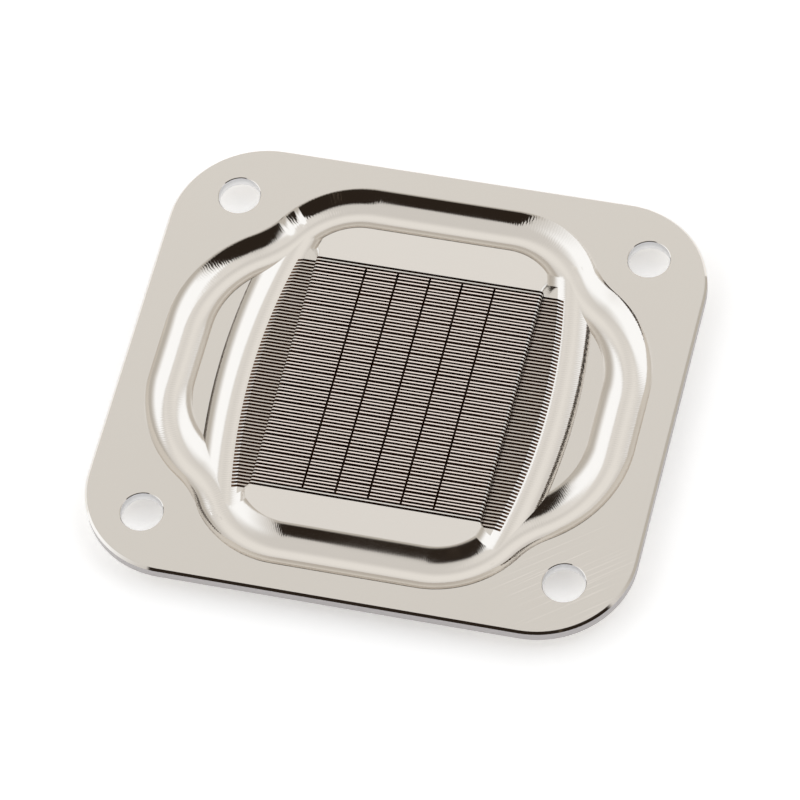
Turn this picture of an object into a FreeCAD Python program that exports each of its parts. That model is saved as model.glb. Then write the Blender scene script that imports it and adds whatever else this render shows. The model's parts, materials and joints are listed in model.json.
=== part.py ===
import FreeCAD, Part
import math
import os

os.makedirs("parts", exist_ok=True)

# Liquid cooling cold plate, machined from one slab. Millimetres, +Z up.
# The origin is the middle of the flat contact face underneath.

# plate and contact pad
plate_x = 58.7
plate_y = 53.3
corner_radius = 10.2
rim_thickness = 1.3
rim_chamfer = 0.25
pad_height = 1.7
pad_margin = 0.8        # pad edge outside the edge of the outer channel
pad_chamfer = 0.3

# screw holes
hole_diameter = 4.5
hole_chamfer = 0.1
hole_spacing_x = 45.0
hole_spacing_y = 40.2

# channels cut with a ball nose cutter
ball_radius = 3.0
loop_depth = 1.4
arc_depth = 1.35

# middle line of the loop channel
loop_y = 21.03          # straight runs along X
loop_x = 23.65          # straight runs along Y
corner_run = 7.6        # half length of the runs along X
corner_bend = 8.76
bulge_run = 3.5         # half length of the runs along Y
bulge_bend = 11.8
neck_bend = 11.3        # hollow bend between the two round ones

# middle line of the two arc channels beside the fins
arc_x = 16.7
arc_radius = 73.0
arc_end_y = 17.5
arc_passes = 7          # straight passes that follow the arc to 0.03 mm

# fins and what surrounds them
fin_pitch = 0.4136
slot_width = 0.2
slot_depth = 1.3
slot_count = 70
slot_shift_y = -0.29    # the saw passes sit a little off the middle
crosscut_pitch = 3.5
crosscut_count = 5
crosscut_shift_x = 0.19
pocket_x = 12.4         # fins are lower outside this
pocket_depth = 1.0
pocket_end_y = 15.56
pocket_corner = 1.5

top_z = pad_height + rim_thickness
up = FreeCAD.Vector(0, 0, 1)


def at(x, y, z=0.0):
    return FreeCAD.Vector(x, y, z)


def rounded_outline(size_x, size_y, radius, z):
    """Face with straight sides and four round corners."""
    hx, hy = size_x / 2, size_y / 2
    bend = radius * (1 - math.sqrt(0.5))
    edges = []
    corners = [(1, 1), (-1, 1), (-1, -1), (1, -1)]
    for i, (sx, sy) in enumerate(corners):
        side = at(sx * hx, sy * (hy - radius), z)
        end = at(sx * (hx - radius), sy * hy, z)
        middle = at(sx * (hx - bend), sy * (hy - bend), z)
        first, last = (side, end) if sx == sy else (end, side)
        edges.append(Part.Arc(first, middle, last).toShape())
        nx, ny = corners[(i + 1) % 4]
        if ny == sy:
            start = at(nx * (hx - radius), ny * hy, z)
        else:
            start = at(nx * hx, ny * (hy - radius), z)
        edges.append(Part.makeLine(last, start))
    return Part.Face(Part.Wire(Part.__sortEdges__(edges)))


def neck_centre():
    """Centre of the hollow bend that touches both round bends."""
    ax, ay = corner_run, loop_y - corner_bend
    bx, by = loop_x - bulge_bend, bulge_run
    reach_a = corner_bend + neck_bend
    reach_b = bulge_bend + neck_bend
    gap = math.hypot(bx - ax, by - ay)
    along = (reach_a ** 2 - reach_b ** 2 + gap ** 2) / (2 * gap)
    aside = math.sqrt(reach_a ** 2 - along ** 2)
    ux, uy = (bx - ax) / gap, (by - ay) / gap
    return ax + along * ux - aside * uy, ay + along * uy + aside * ux


def loop_wire(offset, z):
    """Loop channel line, moved outward by offset."""
    corner = (corner_run, loop_y - corner_bend, corner_bend + offset)
    bulge = (loop_x - bulge_bend, bulge_run, bulge_bend + offset)
    nx, ny = neck_centre()
    neck = (nx, ny, neck_bend - offset)

    def bend(circle, start, end):
        cx, cy, r = circle
        points = [at(cx + r * math.cos(t), cy + r * math.sin(t), z)
                  for t in (start, (start + end) / 2, end)]
        return Part.Arc(*points).toShape()

    to_corner = math.atan2(ny - corner[1], nx - corner[0])
    to_bulge = math.atan2(ny - bulge[1], nx - bulge[0])
    quarter = [
        Part.makeLine(at(loop_x + offset, 0, z), at(loop_x + offset, bulge_run, z)),
        bend(bulge, 0, to_bulge),
        bend(neck, to_bulge - math.pi, to_corner - math.pi),
        bend(corner, to_corner, math.pi / 2),
        Part.makeLine(at(corner_run, loop_y + offset, z), at(0, loop_y + offset, z)),
    ]
    edges = []
    for mirror_x in (1, -1):
        for mirror_y in (1, -1):
            for edge in quarter:
                copy = edge.copy()
                if mirror_x < 0:
                    copy = copy.mirror(at(0, 0, 0), at(1, 0, 0))
                if mirror_y < 0:
                    copy = copy.mirror(at(0, 0, 0), at(0, 1, 0))
                edges.append(copy)
    return Part.Wire(Part.__sortEdges__(edges))


def half_width(depth):
    """Half width of a ball nose channel at the top face."""
    return math.sqrt(2 * ball_radius * depth - depth ** 2)


def arc_line_x(y):
    """Where the middle of an arc channel is at this y."""
    return arc_x - arc_radius + math.sqrt(arc_radius ** 2 - y ** 2)


def plate_blank():
    """Rim with its chamfer, and the contact pad under it."""
    outline = rounded_outline(plate_x, plate_y, corner_radius, pad_height)
    straight = outline.extrude(up * (rim_thickness - rim_chamfer))
    low = outline.OuterWire.copy()
    low.translate(up * (rim_thickness - rim_chamfer))
    small = rounded_outline(plate_x - 2 * rim_chamfer, plate_y - 2 * rim_chamfer,
                            corner_radius - rim_chamfer, top_z)
    rim = straight.fuse(Part.makeLoft([low, small.OuterWire], True, True))
    pad_out = half_width(loop_depth) + pad_margin
    foot = Part.makeLoft([loop_wire(pad_out - pad_chamfer, 0),
                          loop_wire(pad_out, pad_chamfer)], True, True)
    pad = Part.Face(loop_wire(pad_out, pad_chamfer)).extrude(up * (pad_height - pad_chamfer))
    return rim.fuse([pad, foot]).removeSplitter()


def screw_holes():
    """Four through holes with a broken top edge."""
    tools = []
    r = hole_diameter / 2
    for sx in (1, -1):
        for sy in (1, -1):
            spot = at(sx * hole_spacing_x / 2, sy * hole_spacing_y / 2)
            tools.append(Part.makeCylinder(r, top_z, spot))
            tools.append(Part.makeCone(r, r + 2 * hole_chamfer, 2 * hole_chamfer,
                                       spot + up * (top_z - hole_chamfer)))
    return tools


def loop_channel():
    """Round bottomed cut that runs all the way around."""
    height = top_z + ball_radius - loop_depth
    path = loop_wire(0, height)
    profile = Part.Wire(Part.makeCircle(ball_radius, at(0, loop_y, height), at(1, 0, 0)))
    return Part.Wire(path.Edges).makePipeShell([profile], True, True)


def arc_channel(side):
    """Gently curved channel where the fins end, cut in straight passes."""
    height = top_z + ball_radius - arc_depth
    half_turn = math.asin(arc_end_y / arc_radius)
    bow = arc_radius * (1 - math.cos(half_turn / arc_passes))
    corners = []
    for i in range(arc_passes + 1):
        turn = half_turn * (2 * i / arc_passes - 1)
        x = arc_x - arc_radius + (arc_radius + bow / 2) * math.cos(turn)
        corners.append(at(side * x, arc_radius * math.sin(turn), height))
    cutter = Part.makeCircle(ball_radius, corners[0], corners[1] - corners[0])
    return Part.makePolygon(corners).makePipeShell([Part.Wire(cutter)], True, False, 1)


def end_pocket(side):
    """Shallow pocket over the ends of the fins, open to the arc channel."""
    z = top_z - pocket_depth
    r = pocket_corner
    k = r * (1 - math.sqrt(0.5))
    y = pocket_end_y
    outer = arc_line_x(y)
    points = {
        "low_out": at(side * outer, -y, z), "low_bend": at(side * (pocket_x + r), -y, z),
        "low_side": at(side * pocket_x, -y + r, z), "top_side": at(side * pocket_x, y - r, z),
        "top_bend": at(side * (pocket_x + r), y, z), "top_out": at(side * outer, y, z),
    }
    edges = [
        Part.makeLine(points["low_out"], points["low_bend"]),
        Part.Arc(points["low_bend"], at(side * (pocket_x + k), -y + k, z),
                 points["low_side"]).toShape(),
        Part.makeLine(points["low_side"], points["top_side"]),
        Part.Arc(points["top_side"], at(side * (pocket_x + k), y - k, z),
                 points["top_bend"]).toShape(),
        Part.makeLine(points["top_bend"], points["top_out"]),
        Part.Arc(points["top_out"], at(side * arc_x, 0, z), points["low_out"]).toShape(),
    ]
    return Part.Face(Part.Wire(edges)).extrude(up * (pocket_depth + 1))


def fin_slots():
    """Saw slots along X, each ending in the two arc channels."""
    tools = []
    first = slot_shift_y - (slot_count - 1) * fin_pitch / 2
    for i in range(slot_count):
        y = first + i * fin_pitch
        reach = arc_line_x(y)
        corner = at(-reach, y - slot_width / 2, top_z - slot_depth)
        tools.append(Part.makeBox(2 * reach, slot_width, slot_depth + 1, corner))
    return tools


def crosscuts():
    """Saw slots along Y, from the second slot to the last but one."""
    tools = []
    length = (slot_count - 3) * fin_pitch
    first = crosscut_shift_x - (crosscut_count - 1) * crosscut_pitch / 2
    for i in range(crosscut_count):
        x = first + i * crosscut_pitch
        corner = at(x - slot_width / 2, slot_shift_y - length / 2, top_z - slot_depth)
        tools.append(Part.makeBox(slot_width, length, slot_depth + 1, corner))
    return tools


plate = plate_blank()
plate = plate.cut(screw_holes())
plate = plate.cut(loop_channel())
plate = plate.cut([arc_channel(1), arc_channel(-1)])
plate = plate.cut([end_pocket(1), end_pocket(-1)])
plate = plate.cut(fin_slots() + crosscuts())
plate = plate.removeSplitter()
print("solids", len(plate.Solids), "valid", plate.isValid(), "volume", round(plate.Volume, 1))
plate.exportStep("parts/cold_plate.step")
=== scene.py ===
import json
import math

import bmesh
import bpy
import numpy as np
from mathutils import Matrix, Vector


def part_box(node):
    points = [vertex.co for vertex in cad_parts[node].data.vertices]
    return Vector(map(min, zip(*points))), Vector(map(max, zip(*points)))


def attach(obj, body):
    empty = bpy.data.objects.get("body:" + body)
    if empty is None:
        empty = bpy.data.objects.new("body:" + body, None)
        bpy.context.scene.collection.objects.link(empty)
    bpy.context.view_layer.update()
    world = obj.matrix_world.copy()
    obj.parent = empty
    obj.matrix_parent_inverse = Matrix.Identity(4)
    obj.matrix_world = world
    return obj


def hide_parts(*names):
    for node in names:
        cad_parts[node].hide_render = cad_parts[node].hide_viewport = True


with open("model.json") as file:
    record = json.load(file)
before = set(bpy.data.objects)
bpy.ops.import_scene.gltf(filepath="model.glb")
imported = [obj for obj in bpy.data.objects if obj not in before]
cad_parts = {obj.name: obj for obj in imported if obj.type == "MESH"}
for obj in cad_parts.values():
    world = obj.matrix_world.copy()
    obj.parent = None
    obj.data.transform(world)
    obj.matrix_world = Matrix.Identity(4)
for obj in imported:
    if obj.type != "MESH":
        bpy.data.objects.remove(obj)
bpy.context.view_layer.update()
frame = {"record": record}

mm = 0.001
micron = 0.000001
touching = 0.01 * mm  # nearer than this counts as the same place

scene = bpy.context.scene
scene.view_settings.view_transform = "Standard"
lowCorner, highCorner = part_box("cold_plate")
plateSize = highCorner - lowCorner
topZ = highCorner.z
print("frame loaded, plate", [round(v / mm, 2) for v in plateSize])

# rim, pad and screw holes, all in metres
screws = next(m for m in frame["record"]["mounts"] if m["kind"] == "bolt_pattern")["dims"]
plate = {
    "cornerRadius": 10.2 * mm,
    "cornerSteps": 24,
    "rimThickness": 1.3 * mm,
    "rimChamfer": 0.25 * mm,
    "padMargin": 0.8 * mm,  # the pad stands out this far past the loop channel
    "padChamfer": 0.3 * mm,
    "padOverlap": 0.5 * mm,  # and its blank reaches this far into the rim
    "holeRadius": screws["hole_r_mm"] * mm,
    "holeSpacing": (screws["spacing_x_mm"] * mm, screws["spacing_y_mm"] * mm),
    "holeChamfer": 0.07 * mm,
    "holeSides": 64,
    "cutPast": 1.0 * mm,  # how far a cutter runs on outside the plate
}

# middle lines of the loop channel and of the two arc channels
channels = {
    "ballRadius": 3.0 * mm,
    "ballSides": 192,
    "loopDepth": 1.4 * mm,
    "arcDepth": 1.35 * mm,
    "loopY": 21.03 * mm,
    "loopX": 23.65 * mm,
    "cornerRun": 7.6 * mm,
    "cornerBend": 8.76 * mm,
    "bulgeRun": 3.5 * mm,
    "bulgeBend": 11.8 * mm,
    "neckBend": 11.3 * mm,
    "bendStep": math.radians(2.5),
    "arcX": 16.7 * mm,
    "arcRadius": 73.0 * mm,
    "arcEndY": 17.5 * mm,
    "arcSteps": 48,
}

# saw slots along X, crosscuts along Y, and a pocket over each end of the fins
fins = {
    "pitch": 0.4136 * mm,
    "slotWidth": 0.265 * mm,
    "slotDepth": 1.25 * mm,
    "slotCount": 70,
    "shiftY": -0.32 * mm,
    "crosscutPitch": 3.51 * mm,
    "crosscutCount": 5,
    "crosscutShiftX": 0.26 * mm,
    "crosscutWidth": 0.23 * mm,
    "pocketX": 12.4 * mm,
    "pocketDepth": 1.0 * mm,
    "pocketEndY": 15.56 * mm,
    "pocketCorner": 1.5 * mm,
    "pocketSteps": 12,
    "shoulder": 0.35 * mm,  # rolled edge of the fins above the pockets
    "shoulderSteps": 6,
    "leanEvery": 5,  # every fifth fin was pushed over a little by the saw
    "lean": 0.042 * mm,
}


def neckCentre():
    ax, ay = channels["cornerRun"], channels["loopY"] - channels["cornerBend"]
    bx, by = channels["loopX"] - channels["bulgeBend"], channels["bulgeRun"]
    reachA = channels["cornerBend"] + channels["neckBend"]
    reachB = channels["bulgeBend"] + channels["neckBend"]
    gap = math.hypot(bx - ax, by - ay)
    along = (reachA ** 2 - reachB ** 2 + gap ** 2) / (2 * gap)
    aside = math.sqrt(reachA ** 2 - along ** 2)
    ux, uy = (bx - ax) / gap, (by - ay) / gap
    return ax + along * ux - aside * uy, ay + along * uy + aside * ux


# the three bends of one quarter of the loop: centre, radius, first and last angle
neckX, neckY = neckCentre()
cornerY = channels["loopY"] - channels["cornerBend"]
bulgeX = channels["loopX"] - channels["bulgeBend"]
toCorner = math.atan2(neckY - cornerY, neckX - channels["cornerRun"])
toBulge = math.atan2(neckY - channels["bulgeRun"], neckX - bulgeX)
bends = {
    "bulge": (bulgeX, channels["bulgeRun"], channels["bulgeBend"], 0.0, toBulge),
    "neck": (neckX, neckY, channels["neckBend"], toBulge - math.pi, toCorner - math.pi),
    "corner": (channels["cornerRun"], cornerY, channels["cornerBend"], toCorner, math.pi / 2),
}
arcCentreX = channels["arcX"] - channels["arcRadius"]


def onCircle(x, y, radius, turns):
    return [(x + radius * math.cos(turn), y + radius * math.sin(turn)) for turn in turns]


def loopLine(offset):
    quarter = [(channels["loopX"] + offset, 0.0)]
    for name, (cx, cy, radius, start, end) in bends.items():
        r = radius - offset if name == "neck" else radius + offset
        steps = max(2, round(abs(end - start) / channels["bendStep"]))
        turns = [start + (end - start) * i / steps for i in range(steps + 1)]
        for point in onCircle(cx, cy, r, turns):
            if math.dist(point, quarter[-1]) > touching:
                quarter.append(point)
    quarter.append((0.0, channels["loopY"] + offset))
    half = quarter + [(-x, y) for x, y in reversed(quarter[:-1])]
    return half + [(x, -y) for x, y in reversed(half[1:-1])]


def arcLine(side):
    steps = channels["arcSteps"]
    halfTurn = math.asin(channels["arcEndY"] / channels["arcRadius"])
    turns = [halfTurn * (2 * i / steps - 1) for i in range(steps + 1)]
    return [(side * x, y) for x, y in onCircle(arcCentreX, 0, channels["arcRadius"], turns)]


def arcLineX(y):
    return arcCentreX + math.sqrt(channels["arcRadius"] ** 2 - y ** 2)


def rimLine(inset):
    hx, hy = plateSize.x / 2 - inset, plateSize.y / 2 - inset
    r, steps = plate["cornerRadius"] - inset, plate["cornerSteps"]
    points = []
    for quarter, (sx, sy) in enumerate([(1, 1), (-1, 1), (-1, -1), (1, -1)]):
        turns = [(quarter + i / steps) * math.pi / 2 for i in range(steps + 1)]
        points += onCircle(sx * (hx - r), sy * (hy - r), r, turns)
    return points


def pocketLine(side, grow):
    x, y, r, steps = (fins[key] for key in ("pocketX", "pocketEndY", "pocketCorner", "pocketSteps"))
    stops = [(y + grow) * (i / steps - 1) for i in range(2 * steps + 1)]
    points = [(arcLineX(stop), stop) for stop in stops]
    for middle, start in ((y - r, math.pi / 2), (r - y, math.pi)):
        turns = [start + i / steps * math.pi / 2 for i in range(steps + 1)]
        points += onCircle(x + r, middle, r + grow, turns)
    return points if side > 0 else [(-px, py) for px, py in reversed(points)]


def ringSolid(name, rings):
    # rings are (points, z) from the lowest to the highest, all with as many points
    shape = bmesh.new()
    loops = [[shape.verts.new((x, y, z)) for x, y in points] for points, z in rings]
    for low, high in zip(loops, loops[1:]):
        for i in range(len(low)):
            j = (i + 1) % len(low)
            shape.faces.new((low[i], low[j], high[j], high[i]))
    shape.faces.new(list(reversed(loops[0])))
    shape.faces.new(loops[-1])
    mesh = bpy.data.meshes.new(name)
    shape.to_mesh(mesh)
    shape.free()
    return mesh


def pocketSolid(side):
    # shallow pocket over the ends of the fins, with a rolled upper edge, open to the arc channel
    r, steps = fins["shoulder"], fins["shoulderSteps"]
    rings = [(pocketLine(side, 0), topZ - fins["pocketDepth"])]
    for i in range(steps + 1):
        turn = i / steps * math.pi / 2
        rings.append((pocketLine(side, r - r * math.cos(turn)), topZ - r + r * math.sin(turn)))
    rings.append((pocketLine(side, r), topZ + plate["cutPast"]))
    return ringSolid("pocket", rings)


def holeSolid(x, y):
    r, c, sides = plate["holeRadius"], plate["holeChamfer"], plate["holeSides"]
    turns = [i / sides * 2 * math.pi for i in range(sides)]
    return ringSolid("hole", [
        (onCircle(x, y, r, turns), -plate["cutPast"]),
        (onCircle(x, y, r, turns), topZ - c),
        (onCircle(x, y, r + 2 * c, turns), topZ + c)])


def joined(name, meshes):
    shape = bmesh.new()
    for mesh in meshes:
        shape.from_mesh(mesh)
        bpy.data.meshes.remove(mesh)
    whole = bpy.data.meshes.new(name)
    shape.to_mesh(whole)
    shape.free()
    return whole


def pathCurve(name, lines, z, closed):
    curve = bpy.data.curves.new(name, "CURVE")
    curve.dimensions = "3D"
    for points in lines:
        spline = curve.splines.new("POLY")
        spline.points.add(len(points) - 1)
        for place, (x, y) in zip(spline.points, points):
            place.co = (x, y, z, 1)
        spline.use_cyclic_u = closed
    return curve


def addObject(name, data):
    item = bpy.data.objects.new(name, data)
    scene.collection.objects.link(item)
    return item


underRim = topZ - plate["rimThickness"]
rimBlank = ringSolid("rimBlank", [
    (rimLine(0), underRim),
    (rimLine(0), topZ - plate["rimChamfer"]),
    (rimLine(plate["rimChamfer"]), topZ)])
halfCut = math.sqrt(2 * channels["ballRadius"] * channels["loopDepth"] - channels["loopDepth"] ** 2)
padOut = halfCut + plate["padMargin"]
padBlank = ringSolid("padBlank", [
    (loopLine(padOut - plate["padChamfer"]), 0),
    (loopLine(padOut), plate["padChamfer"]),
    (loopLine(padOut), underRim + plate["padOverlap"])])
loopHeight = topZ + channels["ballRadius"] - channels["loopDepth"]
arcHeight = topZ + channels["ballRadius"] - channels["arcDepth"]
loopPath = pathCurve("loopPath", [loopLine(0)], loopHeight, closed=True)
arcPath = pathCurve("arcPath", [arcLine(1), arcLine(-1)], arcHeight, closed=False)
spacingX, spacingY = plate["holeSpacing"]
holes = [holeSolid(sx * spacingX / 2, sy * spacingY / 2) for sx in (1, -1) for sy in (1, -1)]
pockets = [pocketSolid(1), pocketSolid(-1)]

# what the machining tree works with, by the names of its object inputs
treeObjects = {
    "Pad": addObject("padBlank", padBlank),
    "Loop Path": addObject("loopPath", loopPath),
    "Arc Path": addObject("arcPath", arcPath),
    "Holes": addObject("holeCutters", joined("holeCutters", holes)),
    "Pockets": addObject("pocketCutters", joined("pocketCutters", pockets)),
}
print("blanks and cutters made")


def feed(tree, value, socket):
    # another node's socket is joined on, anything else is set as it stands
    if isinstance(value, bpy.types.NodeSocket):
        tree.links.new(value, socket)
    else:
        socket.default_value = value


def addNode(tree, kind, inputs=(), **settings):
    # inputs are given in order, or by name in a dictionary
    node = tree.nodes.new(kind)
    for name, value in settings.items():
        setattr(node, name, value)
    pairs = inputs.items() if isinstance(inputs, dict) else enumerate(inputs)
    for slot, value in pairs:
        feed(tree, value, node.inputs[slot])
    return node


def addSocket(tree, name, kind, value=None, way="INPUT"):
    socket = tree.interface.new_socket(name, in_out=way, socket_type="NodeSocket" + kind)
    if value is not None:
        socket.default_value = value


def mathNode(tree, operation, *values):
    return addNode(tree, "ShaderNodeMath", values, operation=operation).outputs[0]


def combined(tree, *values):
    return addNode(tree, "ShaderNodeCombineXYZ", values).outputs[0]


def separated(tree, vector):
    return addNode(tree, "ShaderNodeSeparateXYZ", [vector]).outputs


def layOut(tree, columnWidth=220, rowHeight=260):
    # columns from right to left, with each node to the left of all that it feeds
    column = {node.name: 0 for node in tree.nodes}
    for _ in tree.nodes:
        for link in tree.links:
            start, end = link.from_node.name, link.to_node.name
            column[start] = max(column[start], column[end] + 1)
    filled = {}
    for node in tree.nodes:
        place = column[node.name]
        node.location = (-columnWidth * place, -rowHeight * filled.get(place, 0))
        filled[place] = filled.get(place, 0) + 1


def shaderGroup(name, inputs, outputs):
    tree = bpy.data.node_groups.new(name, "ShaderNodeTree")
    for label, value in inputs.items():
        addSocket(tree, label, "Float", value)
    for label, kind in outputs.items():
        addSocket(tree, label, kind, way="OUTPUT")
    return tree, addNode(tree, "NodeGroupInput").outputs


def vectorMath(tree, operation, *values, give="Vector"):
    return addNode(tree, "ShaderNodeVectorMath", values, operation=operation).outputs[give]


def mapped(tree, value, source, target=(0.0, 1.0), soft=False):
    # carries a value from the source range to the target range, and no further
    node = addNode(tree, "ShaderNodeMapRange", (value, *source, *target))
    if soft:
        node.interpolation_type = "SMOOTHSTEP"
    return node.outputs[0]


def between(tree, value, rise, fall):
    # 1 between two soft slopes, each given from its foot to its top
    rising, falling = mapped(tree, value, rise, soft=True), mapped(tree, value, fall, soft=True)
    return mathNode(tree, "MULTIPLY", rising, falling)


def mixed(tree, mask, first, second):
    # the first colour where the mask is 0, the second where it is 1
    node = addNode(tree, "ShaderNodeMix", {"Factor": mask}, data_type="RGBA")
    for value, socket in zip((first, second), (s for s in node.inputs if s.type == "RGBA")):
        feed(tree, value, socket)
    return next(s for s in node.outputs if s.type == "RGBA")


def noise(tree, vector, scale, detail=2.0, dimensions="3D"):
    node = addNode(tree, "ShaderNodeTexNoise", {"Vector": vector, "Scale": scale, "Detail": detail},
                   noise_dimensions=dimensions)
    return node.outputs["Fac"]


def objectPlace(tree):
    return addNode(tree, "ShaderNodeTexCoord").outputs["Object"]


# texture scales are per metre, and a pair is where a mask starts and where it is full
brushed = {
    "turn": -0.66,
    "lineScale": 6000.0,
    "lineStretch": 0.015,
    "scratchScale": 5200.0,
    "scratchLine": (0.56, 0.72),
    "scratchPatch": (0.35, 0.6),
    "hazeScale": 120.0,
    "hazeRange": (0.35, 0.65),
}


def brushedGroup():
    # fine lines along one direction, a slow haze, and a few long scratches
    tree, given = shaderGroup(
        "brushedGrain", {"Turn": brushed["turn"], "Fine": brushed["lineScale"],
                         "Stretch": brushed["lineStretch"], "Scratched": 0.5},
        {"Height": "Float", "Haze": "Float", "Scratch": "Float"})
    place = objectPlace(tree)
    turned = addNode(tree, "ShaderNodeVectorRotate", {"Vector": place, "Angle": given["Turn"]},
                     rotation_type="Z_AXIS").outputs["Vector"]
    drawn = vectorMath(tree, "MULTIPLY", turned,
                       combined(tree, given["Stretch"], 1.0, given["Stretch"]))
    haze = noise(tree, place, brushed["hazeScale"], detail=3.0)
    lines = noise(tree, drawn, brushed["scratchScale"])
    patch = mapped(tree, haze, brushed["scratchPatch"], soft=True)
    scratch = mathNode(tree, "MULTIPLY", patch,
                       mapped(tree, lines, brushed["scratchLine"], soft=True))
    addNode(tree, "NodeGroupOutput", {
        "Height": noise(tree, drawn, given["Fine"]), "Haze": haze,
        "Scratch": mathNode(tree, "MULTIPLY", scratch, given["Scratched"])})
    layOut(tree)
    return tree


# in mm along each quarter of the loop, and in mm up a channel's wall, plus for the outer one
cutter = {
    "cuspPitch": 0.26,
    "cuspWaver": 0.3,
    "waverScale": 1.7,
    "straightFrom": (27.5, 30.0),
    "cuspDepth": (0.5, 0.1),  # on the bends, which are cut in short steps, and on the straights
    "innerWall": (-0.2, -0.9),
    "innerDuller": 0.9,
    "jogs": ((19.1, 20.4), (21.0, 21.8)),
    "jogTilt": 0.3,
    "jogWall": (0.6, 1.4),
}


def cutterGroup():
    # cusps left by the ball nose cutter across its path, and two jogs where it was set off
    tree, given = shaderGroup(
        "cutterMarks", {"Pitch": cutter["cuspPitch"], "Waver": cutter["cuspWaver"],
                        "Jog": cutter["jogTilt"]},
        {"Height": "Float", "Inner Wall": "Float", "Normal": "Vector"})
    path = addNode(tree, "ShaderNodeUVMap", uv_map="toolPath").outputs["UV"]
    onPath = separated(tree, path)
    along, lean = onPath["X"], onPath["Y"]
    wobble = noise(tree, path, cutter["waverScale"], dimensions="2D")
    shifted = mathNode(tree, "ADD", along, mathNode(tree, "MULTIPLY", wobble, given["Waver"]))
    place = mathNode(tree, "DIVIDE", shifted, given["Pitch"])
    cusps = mathNode(tree, "SINE", mathNode(tree, "MULTIPLY", place, 2 * math.pi))
    depth = mapped(tree, along, cutter["straightFrom"], cutter["cuspDepth"])

    # the jogs lie in the outer wall, where the back left neck meets the corner bend
    corner = separated(tree, objectPlace(tree))
    quarter = mathNode(tree, "MULTIPLY", mathNode(tree, "LESS_THAN", corner["X"], 0.0),
                       mathNode(tree, "GREATER_THAN", corner["Y"], 0.0))
    where = mathNode(tree, "MULTIPLY", quarter, mapped(tree, lean, cutter["jogWall"], soft=True))
    jogs = [between(tree, along, (start, (start + end) / 2), (end, (start + end) / 2))
            for start, end in cutter["jogs"]]
    tilt = mathNode(tree, "MULTIPLY", mathNode(tree, "ADD", *jogs), where)
    tilt = mathNode(tree, "MULTIPLY", tilt, given["Jog"])
    push = addNode(tree, "ShaderNodeVectorMath",
                   {0: (math.sin(toCorner), math.cos(toCorner), 0), "Scale": tilt},
                   operation="SCALE").outputs["Vector"]
    surface = addNode(tree, "ShaderNodeNewGeometry").outputs["Normal"]
    addNode(tree, "NodeGroupOutput", {
        "Height": mathNode(tree, "MULTIPLY", cusps, depth),
        "Inner Wall": mapped(tree, lean, cutter["innerWall"], soft=True),
        "Normal": vectorMath(tree, "NORMALIZE", vectorMath(tree, "ADD", surface, push))})
    layOut(tree)
    return tree


# bright wear along the sharp edges
edges = {
    "radius": 0.08 * mm,
    "samples": 6,
    "facing": (0.999, 0.9),  # cosine between the face and its rounded edge
    "patchScale": 900.0,
    "patch": (0.35, 0.6),
}


def wearGroup():
    # how near a sharp edge is, broken up so that the wear is uneven
    tree, given = shaderGroup("edgeWear", {"Radius": edges["radius"], "Amount": 0.5},
                              {"Wear": "Float"})
    rounded = addNode(tree, "ShaderNodeBevel", {"Radius": given["Radius"]},
                      samples=edges["samples"]).outputs["Normal"]
    surface = addNode(tree, "ShaderNodeNewGeometry").outputs["Normal"]
    apart = vectorMath(tree, "DOT_PRODUCT", rounded, surface, give="Value")
    uneven = noise(tree, objectPlace(tree), edges["patchScale"])
    wear = mathNode(tree, "MULTIPLY", mapped(tree, apart, edges["facing"]),
                    mapped(tree, uneven, edges["patch"]))
    addNode(tree, "NodeGroupOutput", {"Wear": mathNode(tree, "MULTIPLY", wear, given["Amount"])})
    layOut(tree)
    return tree


brushedGrain = brushedGroup()
cutterMarks = cutterGroup()
edgeWear = wearGroup()

# what a finish has where it doesn't say otherwise
usualFinish = {"worn": (0.84, 0.81, 0.77, 1), "tint": (1, 1, 1, 1), "scratched": 0.0,
               "wear": 0.5, "toolMarks": False}

# one finish for each kind of surface, in the order of the piece's material slots
finishes = {
    "satin": {"colour": (0.715, 0.684, 0.64, 1), "rough": (0.22, 0.27), "bump": 0.1 * micron,
              "scratched": 0.5, "wear": 0.6},
    "channel": {"colour": (0.76, 0.728, 0.685, 1), "rough": (0.045, 0.08), "bump": 3 * micron,
                "wear": 0.3, "toolMarks": True},
    # slot walls and floors: dark brown, painted shade of the narrow slots, and darker still lower
    # in as painted shade
    "sawn": {"colour": (0.33, 0.19, 0.12, 1), "paintedShadingBelow": (0.14, 0.08, 0.05, 1),
             "worn": (0.35, 0.25, 0.18, 1), "tint": (0.85, 0.5, 0.32, 1),
             "rough": (0.4, 0.55), "bump": 0.6 * micron, "wear": 0.3},
    "edge": {"colour": (0.76, 0.728, 0.685, 1), "worn": (0.8, 0.77, 0.73, 1),
             "rough": (0.03, 0.06), "bump": 0.0, "wear": 0.2},
    # rim's outer wall: darker grey, painted shade standing in for the shadowed floor it reflects
    "side": {"colour": (0.47, 0.448, 0.448, 1), "worn": (0.7, 0.68, 0.65, 1),
             "rough": (0.3, 0.4), "bump": 0.8 * micron, "wear": 0.4},
    # pocket floors and ends: darker, painted shade of the recess beside the island
    "pocket": {"colour": (0.62, 0.56, 0.505, 1), "rough": (0.25, 0.33), "bump": 0.3 * micron},
    "land": {"colour": (0.79, 0.76, 0.72, 1), "rough": (0.2, 0.25), "bump": 0.1 * micron},
    # fin tops: pale cream, a painted highlight
    "paintedHighlightTop": {"colour": (0.92, 0.83, 0.775, 1), "worn": (0.95, 0.87, 0.82, 1),
            "rough": (0.2, 0.25), "bump": 0.1 * micron},
    # bore walls: nickel, with painted light making them brighter lower in
    "bore": {"colour": (0.7, 0.7, 0.715, 1), "paintedShadingBelow": (0.9, 0.9, 0.91, 1),
             "rough": (0.3, 0.4), "bump": 0.3 * micron, "wear": 0.3},
}
nickel = {name: bpy.data.materials.new(name + "Nickel") for name in finishes}

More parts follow.
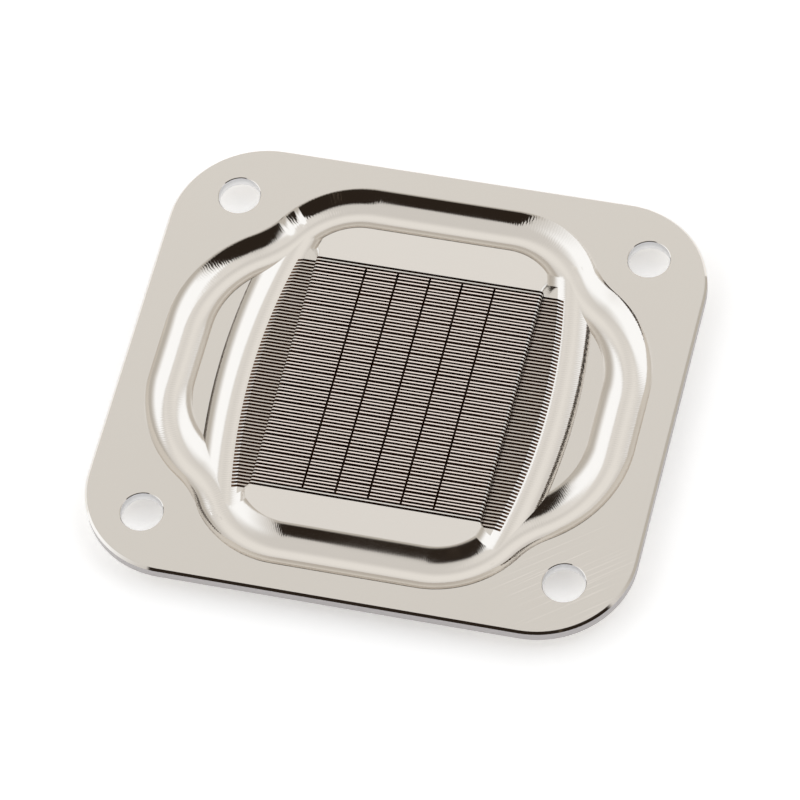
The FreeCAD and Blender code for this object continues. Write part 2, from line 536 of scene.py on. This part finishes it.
# where the scratches are, at which heights the painted shading of slots and bores begins and is
# full, and what wear smooths
surfaces = {
    "scratchCentre": (23 * mm, -20 * mm, topZ),
    "scratchReach": (3 * mm, 11 * mm),
    "paintedShadingZ": (topZ - 0.4 * mm, topZ - mm),
    "wornRough": -0.5,
}


def metalMaterial(material, values):
    material.use_nodes = True
    tree = material.node_tree
    tree.nodes.clear()
    place = objectPlace(tree)
    away = vectorMath(tree, "DISTANCE", place, surfaces["scratchCentre"], give="Value")
    scratched = mapped(tree, away, surfaces["scratchReach"], (values["scratched"], 0.0), soft=True)
    grain = addNode(tree, "ShaderNodeGroup", {"Scratched": scratched},
                    node_tree=brushedGrain).outputs
    wear = addNode(tree, "ShaderNodeGroup", {"Amount": values["wear"]}, node_tree=edgeWear).outputs
    shown = mathNode(tree, "MAXIMUM", wear["Wear"], grain["Scratch"])
    colour = values["colour"]
    if "paintedShadingBelow" in values:  # painted shade darkens the slots lower in, and painted light brightens the bores lower in
        paintedShadingMask = mapped(tree, separated(tree, place)["Z"], surfaces["paintedShadingZ"])
        colour = mixed(tree, paintedShadingMask, colour, values["paintedShadingBelow"])
    rough = mapped(tree, grain["Haze"], brushed["hazeRange"], values["rough"])
    smoother = mathNode(tree, "MULTIPLY_ADD", shown, surfaces["wornRough"], 1.0)
    relief = {"Distance": values["bump"], "Height": grain["Height"]}
    if values["toolMarks"]:  # the cutter left the inner wall duller than the outer one
        marks = addNode(tree, "ShaderNodeGroup", node_tree=cutterMarks).outputs
        duller = mathNode(tree, "MULTIPLY_ADD", marks["Inner Wall"], cutter["innerDuller"], 1.0)
        smoother = mathNode(tree, "MULTIPLY", smoother, duller)
        relief.update({"Height": marks["Height"], "Normal": marks["Normal"]})
    shader = addNode(tree, "ShaderNodeBsdfPrincipled", {
        "Base Color": mixed(tree, shown, colour, values["worn"]),
        "Metallic": 1.0,
        "Roughness": mathNode(tree, "MULTIPLY", rough, smoother),
        "Specular Tint": values["tint"],
        "Normal": addNode(tree, "ShaderNodeBump", relief).outputs["Normal"]})
    addNode(tree, "ShaderNodeOutputMaterial", {"Surface": shader.outputs["BSDF"]})
    layOut(tree)


for name, material in nickel.items():
    metalMaterial(material, {**usualFinish, **finishes[name]})
print("materials made")


def machiningTree():
    # every pass of the machine as a tool that is cut out of the blank
    tree = bpy.data.node_groups.new("coldPlateMachining", "GeometryNodeTree")
    addSocket(tree, "Blank", "Geometry")
    for name in treeObjects:
        addSocket(tree, name, "Object")
    sizes = {
        "Ball Radius": channels["ballRadius"], "Top": topZ,
        "Arc X": channels["arcX"], "Arc Radius": channels["arcRadius"],
        "Fin Pitch": fins["pitch"], "Slot Width": fins["slotWidth"],
        "Slot Depth": fins["slotDepth"], "Slot Shift": fins["shiftY"],
        "Crosscut Pitch": fins["crosscutPitch"], "Crosscut Shift": fins["crosscutShiftX"],
        "Crosscut Width": fins["crosscutWidth"], "Clear Above": plate["cutPast"],
        "Island Half": fins["pocketX"] + touching, "Lean": fins["lean"],
    }
    for name, value in sizes.items():
        addSocket(tree, name, "Float", value)
    counts = {
        "Ball Sides": channels["ballSides"], "Slot Count": fins["slotCount"],
        "Crosscut Count": fins["crosscutCount"], "Lean Every": fins["leanEvery"],
    }
    for name, value in counts.items():
        addSocket(tree, name, "Int", value)
    addSocket(tree, "Finish", "Material")
    addSocket(tree, "Plate", "Geometry", way="OUTPUT")
    size = addNode(tree, "NodeGroupInput").outputs

    def sums(operation, *values):
        return mathNode(tree, operation, *values)

    def geometryOf(name):
        node = addNode(tree, "GeometryNodeObjectInfo", {"Object": size[name]},
                       transform_space="RELATIVE")
        return node.outputs["Geometry"]

    def firstOf(count, pitch, shift):
        # where a row starts, when its middle is at the shift
        span = sums("MULTIPLY", sums("SUBTRACT", count, 1), pitch)
        return sums("SUBTRACT", shift, sums("MULTIPLY", span, 0.5))

    def sawPasses(count, start, step, blade, scale):
        row = addNode(tree, "GeometryNodeMeshLine",
                      {"Count": count, "Start Location": start, "Offset": step}, mode="OFFSET")
        passes = addNode(tree, "GeometryNodeInstanceOnPoints",
                         {"Points": row.outputs["Mesh"], "Instance": blade, "Scale": scale})
        return addNode(tree, "GeometryNodeRealizeInstances", [passes.outputs[0]]).outputs[0]

    def boolean(operation, base, tools):
        node = addNode(tree, "GeometryNodeMeshBoolean", operation=operation, solver="MANIFOLD")
        if base is not None:
            feed(tree, base, node.inputs["Mesh 1"])
        for tool in tools:
            feed(tree, tool, node.inputs["Mesh 2"])
        return node.outputs["Mesh"]

    # ball nose passes: a round tool swept along each middle line
    ball = addNode(tree, "GeometryNodeCurvePrimitiveCircle",
                   {"Resolution": size["Ball Sides"], "Radius": size["Ball Radius"]})
    sweeps = [addNode(tree, "GeometryNodeCurveToMesh",
                      {"Curve": geometryOf(name), "Profile Curve": ball.outputs["Curve"],
                       "Fill Caps": True}).outputs["Mesh"] for name in ("Loop Path", "Arc Path")]

    # saw passes along X, each as long as the arc channels allow at its place
    depth = sums("ADD", size["Slot Depth"], size["Clear Above"])
    root = sums("SUBTRACT", size["Top"], size["Slot Depth"])
    middleZ = sums("ADD", root, sums("MULTIPLY", depth, 0.5))
    where = separated(tree, addNode(tree, "GeometryNodeInputPosition").outputs[0])
    rise = sums("SQRT", sums("SUBTRACT", sums("POWER", size["Arc Radius"], 2.0),
                             sums("POWER", where["Y"], 2.0)))
    reachX = sums("ADD", sums("SUBTRACT", size["Arc X"], size["Arc Radius"]), rise)
    blade = addNode(tree, "GeometryNodeMeshCube").outputs["Mesh"]
    firstY = firstOf(size["Slot Count"], size["Fin Pitch"], size["Slot Shift"])
    slots = sawPasses(size["Slot Count"], combined(tree, 0.0, firstY, middleZ),
                      combined(tree, 0.0, size["Fin Pitch"], 0.0), blade,
                      combined(tree, sums("MULTIPLY", reachX, 2.0), size["Slot Width"], depth))

    # saw passes along Y, from the second slot to the last but one
    firstX = firstOf(size["Crosscut Count"], size["Crosscut Pitch"], size["Crosscut Shift"])
    length = sums("MULTIPLY", sums("SUBTRACT", size["Slot Count"], 3), size["Fin Pitch"])
    crosscuts = sawPasses(size["Crosscut Count"],
                          combined(tree, firstX, size["Slot Shift"], middleZ),
                          combined(tree, size["Crosscut Pitch"], 0.0, 0.0), blade,
                          combined(tree, size["Crosscut Width"], length, depth))

    blank = boolean("UNION", None, [size["Blank"], geometryOf("Pad")])
    milled = boolean("DIFFERENCE", blank, [*sweeps, geometryOf("Holes"), geometryOf("Pockets")])
    sawn = boolean("DIFFERENCE", milled, [slots, crosscuts])

    # the leaning fins move over more the higher they stand, inside the island only
    number = sums("FLOOR", sums("DIVIDE", sums("SUBTRACT", where["Y"], firstY), size["Fin Pitch"]))
    chosen = sums("COMPARE", sums("MODULO", number, size["Lean Every"]),
                  sums("SUBTRACT", size["Lean Every"], 1.0))
    lastFin = sums("SUBTRACT", size["Slot Count"], 1.0)
    inRow = sums("MULTIPLY", sums("GREATER_THAN", number, 0.0), sums("LESS_THAN", number, lastFin))
    inIsland = sums("LESS_THAN", sums("ABSOLUTE", where["X"]), size["Island Half"])
    height = sums("DIVIDE", sums("SUBTRACT", where["Z"], root), size["Slot Depth"])
    share = sums("MULTIPLY", inIsland, sums("MAXIMUM", height, 0.0))
    moved = sums("MULTIPLY", sums("MULTIPLY", chosen, inRow), share)
    sideways = sums("MULTIPLY", moved, sums("MULTIPLY", size["Lean"], -1.0))
    leaning = addNode(tree, "GeometryNodeSetPosition",
                      {"Geometry": sawn, "Offset": combined(tree, 0.0, sideways, 0.0)})

    real = addNode(tree, "GeometryNodeRealizeInstances", [leaning.outputs["Geometry"]])
    finish = addNode(tree, "GeometryNodeSetMaterial",
                     {"Geometry": real.outputs["Geometry"], "Material": size["Finish"]})
    addNode(tree, "NodeGroupOutput", {"Plate": finish.outputs["Geometry"]})
    layOut(tree)
    return tree


blankObject = addObject("coldPlate", rimBlank)
machining = blankObject.modifiers.new("machining", "NODES")
machining.node_group = machiningTree()
sockets = {item.name: item.identifier for item in machining.node_group.interface.items_tree
           if item.in_out == "INPUT"}
for name, item in treeObjects.items():
    machining[sockets[name]] = item
machining[sockets["Finish"]] = nickel["satin"]
evaluated = blankObject.evaluated_get(bpy.context.evaluated_depsgraph_get())
plateMesh = bpy.data.meshes.new_from_object(evaluated)
blankObject.modifiers.remove(machining)
blankObject.data = plateMesh
for item in treeObjects.values():
    bpy.data.objects.remove(item)
print("machined plate has", len(plateMesh.polygons), "faces")

# how the faces of the machined plate are told apart
sorting = {
    "topWithin": 0.002 * mm,
    "axisFacing": 0.985,  # cosine between a face and the way to the ball's middle line
    "axisWithin": 0.012 * mm,
    "squareFacing": 0.9,
    "uprightBelow": 0.1,
    "bevelUp": (0.6, 0.8),
    "rolledUp": 0.08,
    "levelUp": 0.9999,
    "pocketEndX": 12 * mm,
    "landY": (14 * mm, 18 * mm),
    "outsideX": 21 * mm,
    "outsideY": 18 * mm,
    "holeReach": 3 * mm,
    "tipArea": 2 * mm * mm,
    "sharpAngle": math.radians(24),
}


def nearestOnLoop(x, y):
    # folded into one quarter: nearest point of the middle line and its distance along it
    ax, ay = np.abs(x), np.abs(y)
    runY = np.clip(ay, 0, channels["bulgeRun"])
    tries = [(np.full_like(ax, channels["loopX"]), runY, runY)]
    gone = channels["bulgeRun"]
    for cx, cy, radius, start, end in bends.values():
        middle = (start + end) / 2
        turn = np.arctan2(ay - cy, ax - cx)
        turn = middle + (turn - middle + math.pi) % (2 * math.pi) - math.pi
        turn = np.clip(turn, min(start, end), max(start, end))
        tries.append((cx + radius * np.cos(turn), cy + radius * np.sin(turn),
                      gone + radius * np.abs(turn - start)))
        gone += radius * abs(end - start)
    runX = np.clip(ax, 0, channels["cornerRun"])
    tries.append((runX, np.full_like(ax, channels["loopY"]), gone + channels["cornerRun"] - runX))
    px, py, far = (np.array(values) for values in zip(*tries))
    best = np.argmin(np.hypot(px - ax, py - ay), axis=0)
    pick = np.arange(len(ax))
    return px[best, pick] * np.sign(x), py[best, pick] * np.sign(y), far[best, pick]


def nearestOnArc(x, y):
    radius = channels["arcRadius"]
    turn = np.arctan2(y, np.abs(x) - arcCentreX)
    px = arcCentreX + radius * np.cos(turn)
    return px * np.sign(x), radius * np.sin(turn), radius * turn


def finishFaces(mesh):
    # gives round cuts their true normals, a path to lay tool marks along, and each face its finish
    places = np.array([v.co for v in mesh.vertices])
    middles = np.array([p.center for p in mesh.polygons])
    facings = np.array([p.normal for p in mesh.polygons])
    areas = np.array([p.area for p in mesh.polygons])
    faceOf = np.repeat(np.arange(len(mesh.polygons)), [p.loop_total for p in mesh.polygons])
    vertexOf = np.array([loop.vertex_index for loop in mesh.loops])
    normals = np.zeros((len(mesh.loops), 3))
    marks = np.zeros((len(mesh.loops), 2))
    order = list(finishes)
    finish = np.zeros(len(mesh.polygons), int)
    across, aside, up = np.abs(middles[:, 0]), np.abs(middles[:, 1]), facings[:, 2]
    below = middles[:, 2] < topZ - sorting["topWithin"]

    radius = channels["ballRadius"]
    for nearest, height in ((nearestOnLoop, loopHeight), (nearestOnArc, arcHeight)):
        axisX, axisY, along = nearest(places[:, 0], places[:, 1])
        inward = np.stack([axisX, axisY, np.full(len(places), height)], 1) - places
        inward /= np.linalg.norm(inward, axis=1, keepdims=True)
        midX, midY, _ = nearest(middles[:, 0], middles[:, 1])
        toAxis = np.stack([midX, midY, np.full(len(middles), height)], 1) - middles
        reach = np.linalg.norm(toAxis, axis=1)
        agrees = np.sum(toAxis * facings, 1) / reach > sorting["axisFacing"]
        swept = agrees & below & (np.abs(reach - radius) < sorting["axisWithin"])
        finish[swept] = order.index("channel")
        here = swept[faceOf]
        normals[here] = inward[vertexOf[here]]
        outer = np.hypot(places[:, 0], places[:, 1]) > np.hypot(axisX, axisY)
        lean = np.arccos(np.clip(inward[:, 2], -1, 1)) * radius * np.where(outer, 1, -1)
        marks[here] = np.stack([along, lean], 1)[vertexOf[here]] / mm

    free = finish == 0
    rowHalf = fins["slotCount"] / 2 * fins["pitch"]
    inRow = free & below & (np.abs(middles[:, 1] - fins["shiftY"]) < rowHalf)
    inRow &= (across < channels["arcX"]) & (middles[:, 2] > underRim)
    walls = np.abs(facings[:, 1]) > sorting["squareFacing"]
    slotFloors = np.abs(middles[:, 2] - topZ + fins["slotDepth"]) < touching
    # slot walls and floors take the sawn finish, whose dark colour is painted shade
    finish[inRow & (walls | slotFloors)] = order.index("sawn")
    # pocket floors and ends get a colour darkened as painted shade
    pocketFloors = np.abs(middles[:, 2] - topZ + fins["pocketDepth"]) < touching
    ends = (np.abs(facings[:, 0]) > sorting["squareFacing"]) & (across < sorting["pocketEndX"])
    finish[inRow & (pocketFloors | ends) & (finish == 0)] = order.index("pocket")

    # the flat lands, then the tops of the fins, which are painted brighter as a painted highlight
    landStart, landEnd = sorting["landY"]
    onTop = ~below & (across < fins["pocketX"])
    finish[onTop & (aside > landStart) & (aside < landEnd)] = order.index("land")
    finish[onTop & (aside <= landStart) & (areas < sorting["tipArea"])] = order.index("paintedHighlightTop")

    # bevels and upright walls outside the channels
    outside = (across > sorting["outsideX"]) | (aside > sorting["outsideY"])
    leastUp, mostUp = sorting["bevelUp"]
    finish[free & below & outside & (up > leastUp) & (up < mostUp)] = order.index("edge")
    inHole = np.hypot(across - spacingX / 2, aside - spacingY / 2) < sorting["holeReach"]
    upright = free & outside & (np.abs(up) < sorting["uprightBelow"])
    # the rim's outer wall gets a colour darkened as painted shade
    finish[upright & ~inHole] = order.index("side")
    # the bore walls get painted light lower in
    finish[upright & inHole] = order.index("bore")

    # the rolled shoulders over the pockets, and the flat faces beside them
    r = fins["shoulder"]
    rolled = free & below & (middles[:, 2] > topZ - r) & (up > sorting["rolledUp"])
    here = (rolled & ~outside & (finish == 0))[faceOf]
    flatWay = facings[faceOf[here]][:, :2]
    flatWay /= np.linalg.norm(flatWay, axis=1, keepdims=True)
    rise = np.clip((places[vertexOf[here], 2] - topZ + r) / r, 0, 1)
    normals[here] = np.column_stack([flatWay * np.sqrt(1 - rise ** 2)[:, None], rise])
    normals[(up > sorting["levelUp"])[faceOf] & (normals[:, 2] == 0)] = (0, 0, 1)

    mesh.polygons.foreach_set("use_smooth", np.ones(len(mesh.polygons), bool))
    mesh.set_sharp_from_angle(angle=sorting["sharpAngle"])
    mesh.polygons.foreach_set("material_index", finish.astype(np.int32))
    layer = mesh.uv_layers.new(name="toolPath")
    layer.uv.foreach_set("vector", marks.astype(np.float32).ravel())
    mesh.normals_split_custom_set(normals)
    mesh.update()
    return {name: int((finish == i).sum()) for i, name in enumerate(order)}


plateMesh.materials.clear()
for material in nickel.values():
    plateMesh.materials.append(material)
print("faces by finish", finishFaces(plateMesh))

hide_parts("cold_plate")
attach(blankObject, "root")

studio = {
    "floorSize": 6.0,
    "floorColour": (0.97, 0.97, 0.97, 1),
    "floorLift": 0.38,
    "room": (0.79, 0.77, 0.745, 1),
    "white": (1, 1, 1, 1),
}

# what stands round the plate: headings in degrees from +X towards +Y, then heights
surroundings = {
    "upperWall": {"colour": (0.92, 0.9, 0.875, 1), "headings": (0, 95), "headingSoft": (12, 14),
                  "heights": (58, 84), "heightSoft": (6, 4)},
    "sideWall": {"colour": (1.0, 0.98, 0.95, 1), "headings": (78, 146), "headingSoft": (10, 12),
                 "heights": (22, 58), "heightSoft": (12, 12)},
    "rightSoftBox": {"colour": (1.26, 1.29, 1.33, 1), "headings": (-6, 71), "headingSoft": (12, 6),
                     "heights": (26, 67), "heightSoft": (8, 4)},
    "leftSoftBox": {"colour": (1.26, 1.29, 1.33, 1), "headings": (152, 219), "headingSoft": (8, 27),
                    "heights": (-40, 57), "heightSoft": (5, 13)},
    "lowWall": {"colour": (0.61, 0.578, 0.53, 1), "headings": (-120, 78), "headingSoft": (6, 8),
                "heights": (-40, 17), "heightSoft": (5, 5)},
    "darkCurtain": {"colour": (0.028, 0.02, 0.0145, 1), "headings": (-113.5, -12),
                    "headingSoft": (2, 3.5), "heights": (12, 73), "heightSoft": (3, 5.5)},
    "curtainFold": {"colour": (0.075, 0.058, 0.042, 1), "headings": (-63.5, -60.5),
                    "headingSoft": (1.2, 1.2), "heights": (16, 58), "heightSoft": (4, 8)},
}


def floorMaterial():
    # pale paint, lifted a little where the camera or the metal sees it
    material = bpy.data.materials.new("floorPaint")
    material.use_nodes = True
    tree = material.node_tree
    tree.nodes.clear()
    rays = addNode(tree, "ShaderNodeLightPath").outputs
    seen = mathNode(tree, "MAXIMUM", rays["Is Camera Ray"], rays["Is Glossy Ray"])
    seen = mathNode(tree, "MAXIMUM", seen, rays["Is Transmission Ray"])
    paint = addNode(tree, "ShaderNodeBsdfDiffuse", {"Color": studio["floorColour"]})
    strength = mathNode(tree, "MULTIPLY", seen, studio["floorLift"])
    lift = addNode(tree, "ShaderNodeEmission", {"Color": studio["white"], "Strength": strength})
    both = addNode(tree, "ShaderNodeAddShader", [paint.outputs[0], lift.outputs[0]])
    addNode(tree, "ShaderNodeOutputMaterial", {"Surface": both.outputs[0]})
    layOut(tree)
    return material


def inDegrees(tree, operation, *values):
    return mathNode(tree, "MULTIPLY", mathNode(tree, operation, *values), 180 / math.pi)


def patchMask(tree, direction, height, patch):
    # 1 inside a patch of the surroundings, falling off softly past each side
    left, right = patch["headings"]
    half = (right - left) / 2
    turned = addNode(tree, "ShaderNodeVectorRotate",
                     {"Vector": direction, "Angle": -math.radians((left + right) / 2)},
                     rotation_type="Z_AXIS")
    ahead = separated(tree, turned.outputs["Vector"])
    aside = inDegrees(tree, "ARCTAN2", ahead["Y"], ahead["X"])
    bands = []
    for value, (low, high), (lowSoft, highSoft) in (
            (aside, (-half, half), patch["headingSoft"]),
            (height, patch["heights"], patch["heightSoft"])):
        bands.append(between(tree, value, (low - lowSoft, low + lowSoft),
                             (high + highSoft, high - highSoft)))
    return mathNode(tree, "MULTIPLY", *bands)


def studioWorld():
    # the room's colour, then each patch over what is already there, and white for the camera
    world = bpy.data.worlds.new("studio")
    world.use_nodes = True
    tree = world.node_tree
    tree.nodes.clear()
    direction = addNode(tree, "ShaderNodeTexCoord").outputs["Generated"]
    height = inDegrees(tree, "ARCSINE", separated(tree, direction)["Z"])
    sky = studio["room"]
    for patch in surroundings.values():
        sky = mixed(tree, patchMask(tree, direction, height, patch), sky, patch["colour"])
    rays = addNode(tree, "ShaderNodeLightPath").outputs
    sky = mixed(tree, rays["Is Camera Ray"], sky, studio["white"])
    light = addNode(tree, "ShaderNodeBackground", {"Color": sky})
    addNode(tree, "ShaderNodeOutputWorld", {"Surface": light.outputs[0]})
    layOut(tree)
    return world


half = studio["floorSize"] / 2
floorMesh = bpy.data.meshes.new("floor")
floorMesh.from_pydata([(-half, -half, 0), (half, -half, 0), (half, half, 0), (-half, half, 0)],
                      [], [(0, 1, 2, 3)])
floorMesh.materials.append(floorMaterial())
floor = addObject("floor", floorMesh)
scene.world = studioWorld()
print("studio made")

view = {
    "location": (0.11641, -0.29183, 0.49507),
    "turn": (32.0479, 5.0039, 13.8212),
    "lens": 250.99,
    "sensor": 36.0,
    "clip": (0.01, 50.0),
}
cameraData = bpy.data.cameras.new("camera")
cameraData.lens = view["lens"]
cameraData.sensor_width = view["sensor"]
cameraData.clip_start, cameraData.clip_end = view["clip"]
camera = addObject("camera", cameraData)
camera.location = view["location"]
camera.rotation_euler = [math.radians(v) for v in view["turn"]]
scene.camera = camera
